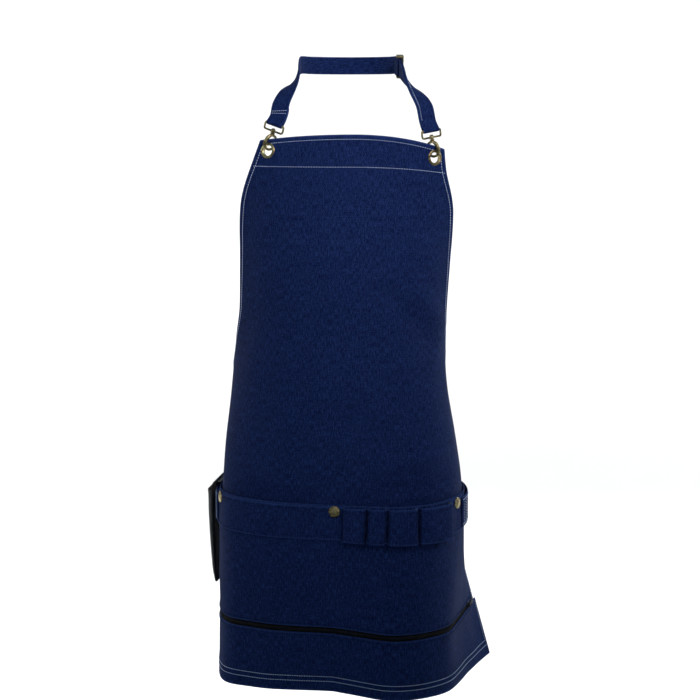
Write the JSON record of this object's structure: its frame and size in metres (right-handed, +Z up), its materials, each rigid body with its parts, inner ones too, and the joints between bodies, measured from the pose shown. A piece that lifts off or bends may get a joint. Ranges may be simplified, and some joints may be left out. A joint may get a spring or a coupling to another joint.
{
  "type": "bib apron",
  "caption": "Denim bib apron shown as worn: neck strap on swivel snap hooks, studded tool band with loops, zipped front pocket, waist straps and a hip pouch.",
  "frame": {"origin": "on the wearer's centre line, level with the upper edge of the neck strap at the nape, which is what carries the apron", "axes": "+Z up, the wearer and the bib face -Y, +X towards the wearer's left hand"},
  "size_m": [0.4113, 0.3131, 0.8795],
  "materials": {
    "denim": "deep indigo denim twill, pale contrast topstitching",
    "antique_brass": "antiqued brass, rubbed bright on its edges",
    "zip_tape": "black woven tape",
    "zip_black": "black nylon coil",
    "pouch_fabric": "black coated cloth"
  },
  "bodies": {
    "root": {"apron_panel": "denim", "bib_facing": "denim", "pocket_panel": "denim", "hem_panel": "denim", "tool_band": "denim", "waist_strap_left": "denim", "waist_strap_right": "denim", "neck_strap": "denim", "strap_ring_right": "antique_brass", "strap_ring_left": "antique_brass", "eyelet_right": "antique_brass", "eyelet_left": "antique_brass", "eyelet_washer_right": "antique_brass", "eyelet_washer_left": "antique_brass", "stud_cap_right": "antique_brass", "stud_cap_centre": "antique_brass", "stud_cap_left": "antique_brass", "stud_washer_right": "antique_brass", "stud_washer_centre": "antique_brass", "stud_washer_left": "antique_brass", "closure_stud_1": "antique_brass", "closure_stud_2": "antique_brass", "closure_cap_1": "antique_brass", "closure_cap_2": "antique_brass", "neck_slider": "antique_brass", "zip_stop_right": "antique_brass", "zip_stop_left": "antique_brass", "zip_tape_upper": "zip_tape", "zip_tape_lower": "zip_tape", "zip_coil": "zip_black"},
    "hook_right": {"hook_body_right": "antique_brass", "hook_post_right": "antique_brass", "gate_pin_right": "antique_brass"},
    "gate_right": {"hook_gate_right": "antique_brass"},
    "hook_left": {"hook_body_left": "antique_brass", "hook_post_left": "antique_brass", "gate_pin_left": "antique_brass"},
    "gate_left": {"hook_gate_left": "antique_brass"},
    "zip_slider": {"zip_slider": "zip_black"},
    "zip_puller": {"zip_puller": "zip_black"},
    "pouch": {"pouch_belt_loop": "pouch_fabric", "pouch_back": "pouch_fabric", "pouch_front": "pouch_fabric"}
  },
  "joints": [
    {"name": "hook_swivel_right", "type": "hinge", "parent": "root", "child": "hook_right", "pos_m": [-0.10534, -0.07511, -0.10957], "axis": [0.2534, -0.1458, 0.9563], "range_deg": [-9, 22]},
    {"name": "hook_gate_right", "type": "hinge", "parent": "hook_right", "child": "gate_right", "pos_m": [-0.09977, -0.07017, -0.11468], "axis": [0.4978, -0.828, -0.2581], "range_deg": [-16, 0], "stiffness_Nm_per_rad": 0.004, "springref_deg": 14.32},
    {"name": "hook_swivel_left", "type": "hinge", "parent": "root", "child": "hook_left", "pos_m": [0.11104, -0.07644, -0.11825], "axis": [-0.135, -0.0791, 0.9877], "range_deg": [-22, 9]},
    {"name": "hook_gate_left", "type": "hinge", "parent": "hook_left", "child": "gate_left", "pos_m": [0.10484, -0.07189, -0.12299], "axis": [0.515, 0.846, 0.1381], "range_deg": [-16, 0], "stiffness_Nm_per_rad": 0.004, "springref_deg": 14.32},
    {"name": "zip_slide", "type": "slide", "parent": "root", "child": "zip_slider", "axis": [0.2417, 0.9696, 0.0383], "range_m": [-0.06, 0]},
    {"name": "zip_pull", "type": "hinge", "parent": "zip_slider", "child": "zip_puller", "pos_m": [0.1732, 0.01742, -0.78552], "axis": [-0.1142, -0.0108, 0.9934], "range_deg": [-150, 0]},
    {"name": "pouch_slide", "type": "slide", "parent": "root", "child": "pouch", "axis": [-0.1302, -0.9915, 0], "range_m": [-0.016, 0.012]}
  ]
}
